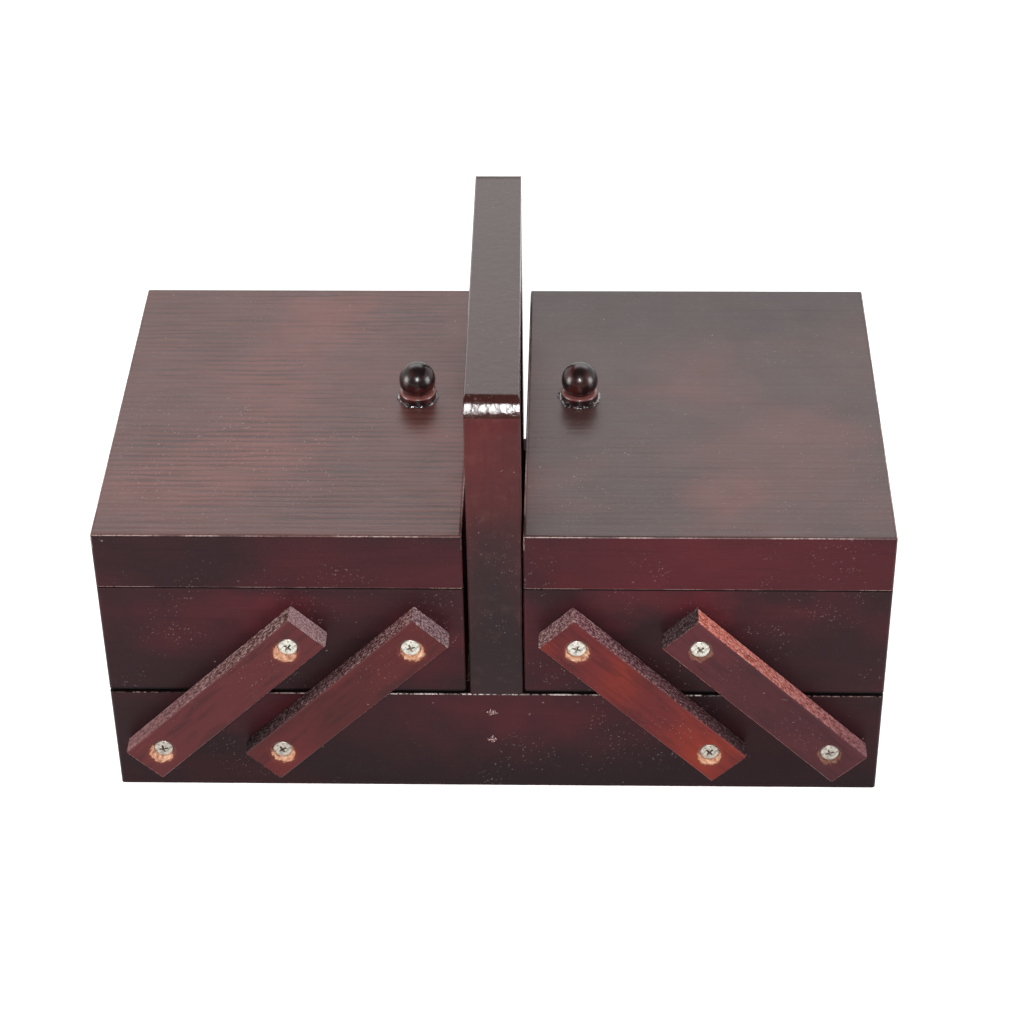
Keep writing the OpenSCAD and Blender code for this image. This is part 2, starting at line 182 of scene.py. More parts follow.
sky_fill = 0.24
backdrop_shown = 0.8
overhead_dark = 0.9
front_shown = 0.15
world = bpy.data.worlds.new("studio")
world.use_nodes = True
world.node_tree.nodes.clear()
bpy.context.scene.world = world
start = Wire(world.node_tree)
towards = start.node("TexCoord", {}, out="Generated")
height = start.node("SeparateXYZ", {"Vector": towards}, out="Z")
depth = height.beside("Y")
seen, direct = seen_rays(start)
by_height = 1 - height.within(0.55, 0.9) * overhead_dark
by_depth = depth.within(-0.8, -0.2) * (1 - front_shown) + front_shown
shown = by_height * by_depth * backdrop_shown
strength = seen * (direct + (1 - direct) * shown) + (1 - seen) * sky_fill
backdrop = start.node("Background", {"Color": white, "Strength": strength})
start.node("OutputWorld", {"Surface": backdrop})
lamps_aim = Vector((0, 0, 0.08))


def soft_box(name, place, width, height, power):
    """A lamp with a flat square front that faces the box."""
    bpy.ops.object.light_add(type="AREA", location=place)
    lamp = bpy.context.object
    lamp.name = name
    aim = lamps_aim - Vector(place)
    lamp.rotation_euler = aim.to_track_quat("-Z", "Y").to_euler()
    lamp.data.shape = "RECTANGLE"
    lamp.data.size = width
    lamp.data.size_y = height
    lamp.data.energy = power
    lamp.visible_camera = False


soft_box("left_box", (-1.25, -0.36, 0.36), width=0.6, height=0.6, power=10)
soft_box("right_box", (1.25, -0.36, 0.36), width=0.6, height=0.6, power=9)
soft_box("front_box", (0.03, -1.3, 1.02), width=0.18, height=0.4, power=15.5)
soft_box("back_box", (0, 1.05, 1.05), width=1.8, height=0.8, power=8.5)


# Base tray
# Two long boards and two ends of pine, rebated, glued and nailed, stained a dark wine-brown in
# blotches under a thin satin lacquer. It has caught dust, and the edges are rubbed pale, the
# front's top edge partly with a painted highlight.
weld_distance = 0.00001
flat_within = math.radians(0.5)
crease = math.radians(40)


def solid_copy(node, edge, segments=3, reshape=None):
    """A copy of a piece, welded into whole faces, its edges rubbed round by edge millimetres."""
    source = frame["nodes"][node]
    piece = bpy.data.objects.new(node + "_finished", source.data.copy())
    piece.data.materials.clear()
    bpy.context.scene.collection.objects.link(piece)
    bpy.ops.object.select_all(action="DESELECT")
    piece.select_set(True)
    bpy.context.view_layer.objects.active = piece
    bpy.ops.object.mode_set(mode="EDIT")
    bpy.ops.mesh.select_all(action="SELECT")
    bpy.ops.mesh.remove_doubles(threshold=weld_distance)
    bpy.ops.mesh.dissolve_limited(angle_limit=flat_within)
    bpy.ops.mesh.normals_make_consistent(inside=False)
    bpy.ops.object.mode_set(mode="OBJECT")
    if reshape:
        reshape(piece)
    rubbed = piece.modifiers.new("rubbed", "BEVEL")
    rubbed.width = edge / 1000
    rubbed.segments = segments
    rubbed.limit_method = "ANGLE"
    rubbed.angle_limit = crease
    bpy.ops.object.modifier_apply(modifier=rubbed.name)
    bpy.ops.object.shade_smooth_by_angle(angle=crease)
    even = piece.modifiers.new("even", "WEIGHTED_NORMAL")
    even.keep_sharp = True
    bpy.ops.object.modifier_apply(modifier=even.name)
    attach(piece, source["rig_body"])
    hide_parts(node)
    return piece


def own_place(piece, turn=0.0):
    """A new material. Gives the place in millimetres from the piece's middle, and its half size."""
    finish = bpy.data.materials.new(piece.name)
    finish.use_nodes = True
    finish.node_tree.nodes.clear()
    piece.data.materials.clear()
    piece.data.materials.append(finish)
    back = Matrix.Rotation(-turn, 3, "Y")
    corners = list(zip(*[back @ v.co for v in piece.data.vertices]))
    low, high = Vector(map(min, corners)), Vector(map(max, corners))
    middle = back.inverted() @ ((low + high) / 2)
    start = Wire(finish.node_tree)
    spot = start.node("TexCoord", {}, out="Object")
    millimetres = {"Location": middle, "Rotation": (0, turn, 0), "Scale": (0.001, 0.001, 0.001)}
    spot = start.node("Mapping", {"Vector": spot, **millimetres}, vector_type="TEXTURE")
    return spot, (high - low) * 1000 / 2


def moved(at, by):
    return at.node("VectorMath", {0: at, 1: by}, operation="ADD")


def drawn(at, along, share):
    """The place, drawn out along an axis: a pattern on it is 1 / share times as long as wide."""
    factors = [share if axis == along else 1 for axis in "XYZ"]
    return at.node("VectorMath", {0: at, 1: factors}, operation="MULTIPLY")


def noise(at, size, detail=2.0, roughness=0.5, distortion=0.0):
    """Smooth noise about 0.5, its lumps about size millimetres wide."""
    return at.node("TexNoise", {
        "Vector": at, "Scale": 1 / size,
        "Detail": detail, "Roughness": roughness, "Distortion": distortion,
    })


def specks(at, every, size, share):
    """Ragged marks up to size millimetres wide, one or none in each cell of every millimetres."""
    ragged = moved(at, noise(at, size * 0.45, detail=0) * size * 0.8)
    cell = at.node("TexVoronoi", {"Vector": ragged, "Scale": 1 / every})
    pick = at.node("SeparateColor", {"Color": cell.beside("Color")})
    reach = cell * every / (pick.beside("Green") * 0.65 * size + 0.35 * size)
    return (1 - reach.within(0.3, 0.55)) * pick.within(1 - share, 1.02 - share)


# Which of a board's sides along X, Y and Z are free to be rubbed, and don't meet another board
all_free = ("both", "both", "both")
y_joined = ("both", "none", "both")
z_joined = ("both", "both", "none")
none_free = ("none", "none", "none")
far_off = 999


def edge_distance(at, half, free=all_free):
    """How far a place on a board's face is from its nearest free edge, in millimetres."""
    x = at.node("SeparateXYZ", {"Vector": at}, out="X")
    inward = []
    for h, p, which in zip(half, (x, x.beside("Y"), x.beside("Z")), free):
        if which == "none":
            inward.append(p * 0 + far_off)
        else:
            inward.append({"both": h - p.sum("ABSOLUTE", p), "low": p + h, "high": h - p}[which])
    a, b, c = inward
    least, most = a.sum("MINIMUM", a, b), a.sum("MAXIMUM", a, b)
    return a.sum("MAXIMUM", least, a.sum("MINIMUM", most, c))


def patch(at, middle, size):
    """1 in the middle of a soft round patch and 0 outside it, both in millimetres."""
    away = at.node("VectorMath", {0: at, 1: middle}, operation="SUBTRACT")
    away = at.node("VectorMath", {0: away, 1: [1 / s for s in size]}, operation="MULTIPLY")
    return 1 - at.node("VectorMath", {0: away}, out="Value", operation="LENGTH").within(0.1, 1)


waver_size = 26


def wavering(at, much):
    """The place, pushed about by broad noise, so that a patch on it has no plain outline."""
    broad = {"Vector": at, "Scale": 1 / waver_size, "Detail": 3, "Roughness": 0.6}
    push = at.node("TexNoise", broad, out="Color")
    push = at.node("VectorMath", {0: push, 1: (0.5, 0.5, 0.5)}, operation="SUBTRACT")
    push = at.node("VectorMath", {0: push, 1: (much, much, much)}, operation="MULTIPLY")
    return moved(at, push)


def stain(at, shift, along, deep, wine, patches, blotch, grain):
    """Stain that has taken unevenly: blotches of wine over the deep colour, and grain lines.

    Each patch has a middle, half widths and a strength. Gives the colour and the lines.
    """
    shifted = moved(at, shift)
    broad = noise(drawn(shifted, along, 0.5), 38, roughness=0.55, distortion=0.6)
    broad = broad.within(0.42, 0.7) * blotch
    loose = wavering(at, 40)
    for middle, size, amount in patches:
        broad = broad + patch(loose, middle, size) * amount
    colour = mixed(deep, wine, broad.clamped())
    lines = noise(drawn(shifted, along, 0.03), 1.2, detail=3, roughness=0.7)
    dark = [0.4 * c for c in deep[:3]] + [1]
    return mixed(colour, dark, lines.within(0.5, 0.68) * grain), lines


dust = "a3918d"


def dusted(at, shift, colour, amount, clusters=()):
    """Dust caught in the lacquer, thick in the clusters, and small scratches. Gives marks too."""
    shifted = moved(at, shift)
    thick = noise(shifted, 22, detail=1).within(0.54, 0.66) * 0.5
    loose = wavering(at, 16)
    for middle, size in clusters:
        thick = thick + patch(loose, middle, size)
    thick = (thick + 0.06).clamped()
    fine = specks(shifted, every=1.0, size=0.8, share=0.6) * thick
    fine = fine * noise(shifted, 1.7, detail=1).within(0.45, 0.6)
    coarse = specks(moved(shifted, (40, 7, 11)), every=5.6, size=1.0, share=0.22)
    slanted = at.node("VectorRotate", {"Vector": shifted, "Angle": 0.6}, rotation_type="Y_AXIS")
    hairs = specks(drawn(slanted, "X", 0.12), every=2.8, size=0.3, share=0.12)
    marks = (fine + coarse * 0.8 + hairs * 0.8).clamped()
    return mixed(colour, paint(dust), marks * 0.55 * amount), marks


def rubbed_edges(at, half, colour, bare, reach, share, free=all_free, where=None):
    """Edges rubbed through to a paler colour in broken lines, mostly where the mask where says."""
    ragged = noise(at, 1.0, detail=3, roughness=0.7)
    band = noise(at, 12, detail=1).within(0.42, 0.6) * 0.8 + 0.2
    if where:
        band = band * where
    away = edge_distance(at, half, free) + (ragged - 0.5) * 1.3 * reach
    near = 1 - away.within(0.2 * reach, reach)
    worn = near * ragged.within(0.62 - 0.35 * share, 0.74 - 0.35 * share) * band
    return mixed(colour, bare, worn.clamped()), worn


# Nearly black: painted shade along the rims of boards that border a dark gap
gap_shade_colour = "0c0809"


def painted_gap_shade(at, half, colour, low, high):
    """Painted shade, nearly black, along a board's bottom and top rims, low and high millimetres
    deep.
    """
    z = at.node("SeparateXYZ", {"Vector": at}, out="Z")
    for inward, deep in ((z + half.z, low), (half.z - z, high)):
        if deep:
            rim = 1 - inward.within(0.3 * deep, deep)
            colour = mixed(colour, paint(gap_shade_colour), rim * 0.9)
    return colour


def surface(at, colour, roughness, height, **fixed):
    """A shader: height is in millimetres, and fixed holds what is the same all over."""
    bump = at.node("Bump", {"Height": height, "Strength": 1.0, "Distance": 0.001})
    inputs = {"Base Color": colour, "Roughness": roughness, "Normal": bump}
    inputs.update({name.replace("_", " "): value for name, value in fixed.items()})
    return at.node("BsdfPrincipled", inputs)


def finished(at, colour, roughness, height, **fixed):
    at.node("OutputMaterial", {"Surface": surface(at, colour, roughness, height, **fixed)})


stain_deep = "2d1b1e"
stain_wine = "542228"
darker_tone = "180f12"
rubbed_wood = "9c7f78"
# Nearly white: rubbed bare wood, partly a painted highlight on the edge
bare_wood_and_highlight = "f2e6e0"
wall_sheen = 0.09


def box_stain(
    at, half, along, shift,
    patches=(), clusters=(), free=all_free, share=0.35, bare=(), dark=(), rims=(0, 0),
):
    """The finish of the box's walls. Gives its colour, roughness and height."""
    deep, wine = paint(stain_deep), paint(stain_wine)
    colour, lines = stain(at, shift, along, deep, wine, patches, blotch=0.35, grain=0.15)
    for middle, size, amount in dark:
        # Patches darkened towards a near-black tone
        colour = mixed(colour, paint(darker_tone), patch(wavering(at, 12), middle, size) * amount)
    colour, marks = dusted(at, shift, colour, 1.0, clusters)
    # Painted shade along the board's bottom and top rims
    colour = painted_gap_shade(at, half, colour, *rims)
    colour, worn = rubbed_edges(at, half, colour, paint(rubbed_wood), 0.45, share, free)
    # Stretches rubbed to bare wood and painted nearly white, partly as a painted highlight
    for middle, size in bare:
        stretch = patch(at, middle, size)
        colour, more = rubbed_edges(at, half, colour, paint(bare_wood_and_highlight), 0.55, 0.55, free, stretch)
        worn = (worn + more).clamped()
    roughness = noise(moved(at, shift), 9) * 0.16 + worn * 0.2 + 0.32
    height = marks * 0.04 - lines * 0.02 + noise(moved(at, shift), 0.8) * 0.005
    return colour, roughness, height


def board_shift(seed):
    """Where a board lies in the pattern of the wood, so that no two look the same."""
    return 37 * seed, 11 * seed, 23 * seed


def box_board(node, along, seed, edge=0.4, **looks):
    """A board of the box: welded, stained, dusted and rubbed."""
    piece = solid_copy(node, edge)
    at, half = own_place(piece)
    colour, roughness, height = box_stain(at, half, along, board_shift(seed), **looks)
    finished(at, colour, roughness, height, Specular_IOR_Level=wall_sheen)


base_patches = [((14, 0, 12), (60, 30, 24), 0.6), ((-70, 0, 14), (50, 30, 18), 0.35)]
# Darker towards the foot of the front board and towards its right end
base_dark = [((0, 0, -22), (900, 99, 28), 0.55), ((104, 0, -4), (70, 99, 40), 0.6)]
base_clusters = [((60, 0, -6), (20, 9, 10)), ((-100, 0, 10), (14, 9, 8))]
# Three stretches of the front board's upper front edge are rubbed to bare wood and painted nearly
# white, partly as a painted highlight along the edge
base_bare_and_highlight = [((x, -3.7, 21.5), (reach, 8, 6)) for x, reach in ((-24, 64), (14, 34), (72, 12))]
# The front board's top rim gets painted shade, where it looks into the gap under the trays
box_board(
    "base_front_panel", "X", seed=1, patches=base_patches, clusters=base_clusters,
    share=0.5, bare=base_bare_and_highlight, dark=base_dark, rims=(0, 0.35),
)
box_board("base_back_panel", "X", seed=2)
box_board("base_left_end", "Y", seed=3, free=y_joined)
box_board("base_right_end", "Y", seed=4, free=y_joined)


# Plywood bottoms
# Thin three-ply panels of pale birch, let into rebates round the foot of each tray and left bare.
# The stain of the walls has crept onto them along the edges.
def plywood(node, seed):
    piece = solid_copy(node, edge=0.15, segments=2)
    at, half = own_place(piece)
    shifted = moved(at, (31 * seed, 13 * seed, 0))
    figure = noise(drawn(shifted, "X", 0.12), 9, detail=4, roughness=0.6, distortion=1.2)
    colour = mixed(paint("c9a273"), paint("a97b4c"), figure.within(0.4, 0.64))
    pores = noise(drawn(shifted, "X", 0.05), 0.45, roughness=0.6)
    colour = mixed(colour, paint("7d5836"), pores.within(0.6, 0.72) * 0.6)
    layers = at.node("SeparateXYZ", {"Vector": at}, out="Z")
    core = 1 - layers.sum("ABSOLUTE", layers).within(0.45, 0.55)
    colour = mixed(colour, paint("8a6238"), core * 0.8)
    creep = edge_distance(at, half) + noise(shifted, 4, detail=3) * 9
    colour = mixed(colour, paint("54302a"), (1 - creep.within(3.5, 9)) * 0.75)
    spots = specks(shifted, every=3.7, size=0.8, share=0.4)
    colour = mixed(colour, paint("5b3a28"), spots * 0.5)
    roughness = pores * 0.2 + 0.62
    finished(at, colour, roughness, figure * 0.02 - pores * 0.05, Specular_IOR_Level=0.35)


plywood("base_bottom_panel", seed=1)


# Handle
# Two legs and a flat grip of the same wood, lapped at the corners, rounded over and given a
# glossier lacquer. The front leg is painted dark red at the top, fading to nearly black at the box:
# painted light on its upper part.
handle_top = 165.0
handle_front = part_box("handle_front_leg")[0].y * 1000
corner_r = 8.0
corner_foot = handle_top - corner_r
# The rounding from the top down: each stretch's radius, and the slope at its ends in degrees
corner_bends = [(4.2, 0, 50), (20.6, 50, 60), (20.3, 60, 90)]
corner_cuts = 7
corner_skin = 1.2
hair = 0.001


def corner_point(along):
    """The slope of the rounding, and its place, this far along it from the top."""
    y, z = handle_front + corner_r, handle_top
    for radius, first, last in corner_bends:
        first = math.radians(first)
        slope = min(first + along / radius, math.radians(last))
        y -= radius * (math.sin(slope) - math.sin(first))
        z -= radius * (math.cos(first) - math.cos(slope))
        along -= radius * (slope - first)
        if along < 1e-6:
            break
    return slope, y, z


def ease_corner(piece):
    """The CAD's quarter-round front corner becomes quick at the top and slow into the leg.

    Cuts across the leg give it rows of points, and those near the face move to the new rounding.
    """
    length = sum(radius * math.radians(last - first) for radius, first, last in corner_bends)
    foot = corner_point(length)[2]
    bpy.ops.object.mode_set(mode="EDIT")
    for i in range(corner_cuts):
        bpy.ops.mesh.select_all(action="SELECT")
        level = corner_foot - (corner_foot - foot) * i / (corner_cuts - 1)
        bpy.ops.mesh.bisect(plane_co=(0, 0, level / 1000), plane_no=(0, 0, 1))
    bpy.ops.object.mode_set(mode="OBJECT")
    turn = corner_r * math.pi / 2
    stretch = length / (turn + handle_top - corner_r - foot)
    for vertex in piece.data.vertices:
        y = vertex.co.y * 1000 - handle_front - corner_r
        z = vertex.co.z * 1000 - handle_top + corner_r
        if y > hair or vertex.co.z * 1000 < foot + hair:
            continue
        if z > 0:
            depth, along = corner_r - math.hypot(y, z), corner_r * math.atan2(-y, z)
        else:
            depth, along = y + corner_r, turn - z
        if depth < corner_skin:
            slope, new_y, new_z = corner_point(along * stretch)
            vertex.co.y = (new_y + depth * math.sin(slope)) / 1000
            vertex.co.z = (new_z - depth * math.cos(slope)) / 1000


def handle_part(
    node, along, seed, deep, wine, free, sheen, smoothest, patches=(), clusters=(), reshape=None
):
    """A leg or the grip. Smoothest is the roughness where the lacquer is whole."""
    piece = solid_copy(node, edge=0.12, segments=2, reshape=reshape)
    at, half = own_place(piece)
    shift = (seed * 19, seed * 3, seed * 29)
    deep, wine = paint(deep), paint(wine)
    colour, lines = stain(at, shift, along, deep, wine, patches, blotch=0.25, grain=0.1)
    cloudy = noise(moved(at, shift), 5, detail=4, roughness=0.65)
    colour = mixed(colour, paint("8a6660"), cloudy.within(0.5, 0.75) * 0.07)
    colour, marks = dusted(at, shift, colour, 0.9, clusters)
    colour, worn = rubbed_edges(at, half, colour, paint("8a5040"), 0.6, 0.25, free)
    pitted = noise(at, 0.6, detail=3, roughness=0.65)
    rippled = noise(moved(at, shift), 2.6, roughness=0.6)
    roughness = cloudy * 0.1 + worn * 0.2 + smoothest
    height = marks * 0.03 + pitted * 0.02 + rippled * 0.09 - lines * 0.008
    finished(at, colour, roughness, height, Specular_IOR_Level=sheen)


# Wine patches high on the front leg: painted light on its upper part, which fades to near black
# below
leg_painted_light = [((-2, 0, 70), (60, 60, 46), 0.42), ((2, 0, 40), (30, 60, 40), 0.15)]
leg_clusters = [((3, -7, -8), (9, 9, 12)), ((-6, -7, 34), (5, 9, 14)), ((4, -7, 14), (7, 9, 10))]
grip_clusters = [((3, 62, 5), (6, 12, 9)), ((-3, 50, 5), (6, 8, 9))]
handle_part(
    "handle_front_leg", "Z", seed=1, deep="2c1e20", wine="682a2a", free=z_joined,
    sheen=0.13, smoothest=0.3, patches=leg_painted_light, clusters=leg_clusters, reshape=ease_corner,
)
handle_part(
    "handle_back_leg", "Z", seed=2, deep="2c1e20", wine="5a2428", free=z_joined,
    sheen=0.13, smoothest=0.3,
)
handle_part(
    "handle_grip_bar", "Y", seed=3, deep="3c201d", wine="4c2622", free=y_joined,
    sheen=0.31, smoothest=0.07, clusters=grip_clusters, reshape=ease_corner,
)


# Nails
# Plain steel nails, two through the wall and each leg's tongue. Their heads are sunk below the
# face, and the stain has crept over them.
def drawn_steel(node):
    piece = frame["nodes"][node]
    at = own_place(piece)[0]
    streaks = noise(drawn(at, "Y", 0.1), 0.3)
    stained_steel = noise(at, 1.6, detail=3, roughness=0.6).within(0.45, 0.7)
    colour = mixed(paint("a9a9a8"), paint("5d4a3c"), stained_steel * 0.6)
    finished(at, colour, stained_steel * 0.35 + 0.3, streaks * 0.01, Metallic=1.0)


drawn_steel("handle_nails")


# Nail fillers
# The holes over the sunk nails were filled before staining. The filler took little stain and has
# cracked, so that each shows as a small ragged pale mark, front and back.
nail_x = -0.0013
nail_levels = (0.022, 0.0345)
filler_rings = [(1.45, 0), (1.35, 0.04), (0.9, 0.09), (0.05, 0.1)]
filler_sunk = 0.00002
full_turn = 6.283


def turned(name, profile, sides):
    """A turned solid standing on the origin: one circle, extruded from ring to ring.

    The profile gives each ring's radius and height in millimetres.
    """
    radius, level = profile[0]
    bpy.ops.object.select_all(action="DESELECT")
    bpy.ops.mesh.primitive_circle_add(
        vertices=sides, radius=radius / 1000, fill_type="NGON", location=(0, 0, level / 1000),
        enter_editmode=True,
    )
    for r, z in profile[1:]:
        up = (0, 0, (z - level) / 1000)
        bpy.ops.mesh.extrude_region_move(TRANSFORM_OT_translate={"value": up})
        scale = (r / radius, r / radius, 1)
        bpy.ops.transform.resize(value=scale, center_override=(0, 0, z / 1000))
        radius, level = r, z
    bpy.ops.mesh.select_all(action="SELECT")
    bpy.ops.mesh.normals_make_consistent(inside=False)
    bpy.ops.object.mode_set(mode="OBJECT")
    piece = bpy.context.object
    piece.name = name
    bpy.ops.object.transform_apply()
    bpy.ops.object.shade_smooth_by_angle(angle=math.radians(35))
    return piece


def waves(chance, count, draw_times, least, most):
    """Waves round a rim, drawn by chance: where each starts, how often it comes, and how high."""
    return [
        (chance.uniform(0, full_turn), draw_times(2, 9), chance.uniform(least, most))
        for _ in range(count)
    ]


def filler(name, outward, level, seed):
    """A low ragged disc of filler on the face of the wall."""
    piece = turned(name, filler_rings, sides=40)
    chance = random.Random(seed)
    edge_waves = waves(chance, 6, chance.randint, 0.05, 0.16)
    for vertex in piece.data.vertices:
        turn = math.atan2(vertex.co.y, vertex.co.x)
        ragged = 1 + sum(much * math.sin(times * turn + at) for at, times, much in edge_waves)
        vertex.co.x *= ragged
        vertex.co.y *= ragged
    low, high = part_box("base_front_panel" if outward < 0 else "base_back_panel")
    face = low.y if outward < 0 else high.y
    piece.data.transform(Matrix.Rotation(-outward * math.radians(90), 4, "X"))
    piece.data.transform(Matrix.Translation((nail_x, face - outward * filler_sunk, level)))
    at = own_place(piece)[0]
    cracked = noise(moved(at, (seed * 3, 0, 0)), 0.55, detail=3, roughness=0.7)
    colour = mixed(paint("3a2024"), paint("d0a9a4"), cracked.within(0.47, 0.6) * 0.9)
    finished(at, colour, cracked * 0.2 + 0.5, cracked * 0.15, Specular_IOR_Level=0.15)
    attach(piece, "base")


for row, outward in enumerate((-1, 1)):
    for column, level in enumerate(nail_levels):
        number = 2 * row + column
        filler(f"nail_filler_{number + 1}", outward, level, seed=number + 3)


# Pivot screws
# Zinc-plated countersunk wood screws, whose shanks are the pins that the arms turn on. The driver
# has scuffed the cross recess of each, and no two stand at the same angle.
screw_head_r = 3.35
screw_shank_r = 1.5
screw_length = 14
screw_pitch = 1.2
screw_thread_top = -8.2
screw_point_h = 2.6
recess_size = (3.5, 0.75, 1.9)
recess_taper = (0.25, 0.55, 1)
recess_lift = 0.0002


def screw_profile():
    """The head from its crown down, a straight neck, ridges of thread, and a point."""
    outer, root = screw_shank_r, screw_shank_r * 0.78
    rings = [(2.5, 0.0), (3.0, -0.08), (3.22, -0.18), (screw_head_r, -0.32), (3.28, -0.42)]
    rings += [(outer + 0.12, -1.95), (outer, -2.2), (outer, screw_thread_top)]
    level = screw_thread_top
    while level > screw_point_h - screw_length:
        rings += [(root, level - 0.35), (outer, level - 0.6), (outer, level - 0.7)]
        level -= screw_pitch
    return rings + [(outer * 0.7, level - 0.3), (0.08, -screw_length)]


def cross_cutter(turn):
    """One bar of the tapered cross that the screwdriver fits, point down."""
    bpy.ops.object.select_all(action="DESELECT")
    bpy.ops.mesh.primitive_cube_add(size=0.001, location=(0, 0, -0.0005), enter_editmode=True)
    bpy.ops.transform.resize(value=recess_size, center_override=(0, 0, 0))
    bpy.ops.mesh.select_all(action="DESELECT")
    bpy.ops.object.mode_set(mode="OBJECT")
    cutter = bpy.context.object
    for face in cutter.data.polygons:
        face.select = face.normal.z < -0.9
    bpy.ops.object.mode_set(mode="EDIT")
    bpy.ops.transform.resize(value=recess_taper, center_override=(0, 0, 0))
    bpy.ops.mesh.select_all(action="SELECT")
    bpy.ops.transform.translate(value=(0, 0, recess_lift))
    bpy.ops.object.mode_set(mode="OBJECT")
    bpy.ops.object.transform_apply()
    cutter.data.transform(Matrix.Rotation(turn, 4, "Z"))
    return cutter


model_screw = turned("model_screw", screw_profile(), sides=40)
for turn in (0, math.pi / 2):
    cutter = cross_cutter(turn)
    bpy.context.view_layer.objects.active = model_screw
    cut = model_screw.modifiers.new("recess", "BOOLEAN")
    cut.object = cutter
    cut.solver = "EXACT"
    bpy.ops.object.modifier_apply(modifier=cut.name)
    bpy.data.objects.remove(cutter)

places = {joint["name"]: Vector(joint["pos_m"]) for joint in frame["joints"]}


def base_pivot(side, place):
    """Where an arm turns on the base: the middle of its front screw."""
    return places[f"{side}_tray_swing" if place == "outer" else f"{side}_arm_front_inner_swing"]


def tray_pivot(side, place):
    """Where an arm's other end turns on the tray, as far from the base's screw on every arm."""
    return places[f"{side}_tray_level"] + base_pivot(side, place) - base_pivot(side, "outer")


def zinc(piece, fresh="d6d2c8", stale="aea99f"):
    at = own_place(piece)[0]
    rubbed = noise(drawn(at, "Y", 0.3), 0.5, detail=3, roughness=0.6)
    dull = noise(at, 1.4).within(0.42, 0.62)
    colour = mixed(paint(fresh), paint(stale), dull)
    colour = mixed(colour, paint("736e66"), rubbed.within(0.56, 0.7) * 0.6)
    finished(at, colour, dull * 0.15 + 0.4, rubbed * 0.03, Metallic=1.0)


def pivot_screw(name, node, body, spot, angle, *plating):
    """A copy of the model screw, its head where the CAD screw's is, turned by angle degrees."""
    low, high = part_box(node)
    at_front = spot.y < 0
    head_y = low.y if at_front else high.y
    data = model_screw.data.copy()
    data.transform(Matrix.Rotation(math.radians(angle), 4, "Z"))
    data.transform(Matrix.Rotation(math.radians(90 if at_front else -90), 4, "X"))
    data.transform(Matrix.Translation((spot.x, head_y, spot.z)))
    piece = bpy.data.objects.new(name, data)
    bpy.context.scene.collection.objects.link(piece)
    zinc(piece, *plating)
    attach(piece, body)
    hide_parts(node)


# Counted from the left along the front, then along the back. The base's plating is the duller
base_screw_angles = [12, 30, 47, 20, 66, 3, 38, 81]
base_plating = ("beb6ac", "928b81")
sides_and_places = (("left", "outer"), ("left", "inner"), ("right", "inner"), ("right", "outer"))
for row, face in enumerate(("front", "back")):
    for column, (side, place) in enumerate(sides_and_places):
        spot = base_pivot(side, place).copy()
        spot.y = spot.y if face == "front" else -spot.y
        angle = base_screw_angles[4 * row + column]
        name, node = f"base_screw_{face}_{side}_{place}", f"base_pivot_screws_{face}"
        pivot_screw(name, node, "base", spot, angle, *base_plating)


# Upper trays
# Two trays built as the base is, and open on top under their lids. Each hangs on four arms, and
# its pivot screws go through the arms into the long boards.
tray_patches = {
    "left": [
        ((-4, 0, 10), (44, 20, 16), 0.6), ((-48, 0, 8), (24, 20, 20), 0.35),
        ((50, 0, -2), (20, 20, 24), 0.5),
    ],
    "right": [
        ((-16, 0, 16), (50, 20, 16), 0.8), ((40, 0, 16), (30, 20, 12), 0.3),
        ((-58, 0, 0), (14, 20, 30), 0.5),
    ],
}
tray_clusters = {
    "left": [((-36, 0, 4), (16, 9, 9)), ((2, 0, -8), (12, 9, 8)), ((55, 0, 4), (8, 9, 10))],
    "right": [((46, 0, 10), (12, 9, 8)), ((-4, 0, 12), (18, 9, 8)), ((58, 0, -12), (8, 9, 8))],
}
# Painted shade along each front board's foot over the gap above the base, and thinly along its top
# at the lid
tray_rims = (1.1, 0.3)
tray_screw_angles = [50, 18, 40, 74, 9, 33, 62, 27]
for number, side in enumerate(("left", "right")):
    box_board(
        f"{side}_tray_front_panel", "X", seed=5 + 7 * number, patches=tray_patches[side],
        clusters=tray_clusters[side], rims=tray_rims, free=z_joined,
    )
    box_board(f"{side}_tray_back_panel", "X", seed=6 + 7 * number)
    box_board(f"{side}_tray_outer_wall", "Y", seed=7 + 7 * number, free=y_joined)
    box_board(f"{side}_tray_inner_wall", "Y", seed=8 + 7 * number, free=y_joined)
    plywood(f"{side}_tray_bottom_panel", seed=2 + number)
    for row, face in enumerate(("front", "back")):
        for column, place in enumerate(("outer", "inner")):
            spot = tray_pivot(side, place).copy()
            spot.y = spot.y if face == "front" else -spot.y
            angle = tray_screw_angles[4 * row + 2 * number + column]
            name, node = f"{side}_tray_screw_{face}_{place}", f"{side}_tray_pivot_screws_{face}"
            pivot_screw(name, node, f"{side}_tray", spot, angle)

bpy.data.objects.remove(model_screw)


# Arms
# Eight flat arms sawn from a redder wood, with a thin coat of stain. Their faces are smooth, their
# sawn edges rough and pinkish, and each countersink shows raw wood, torn at its rim.
arm_length = 86
raw_r = 4.3
sawn_rim = (0.1, 0.35)


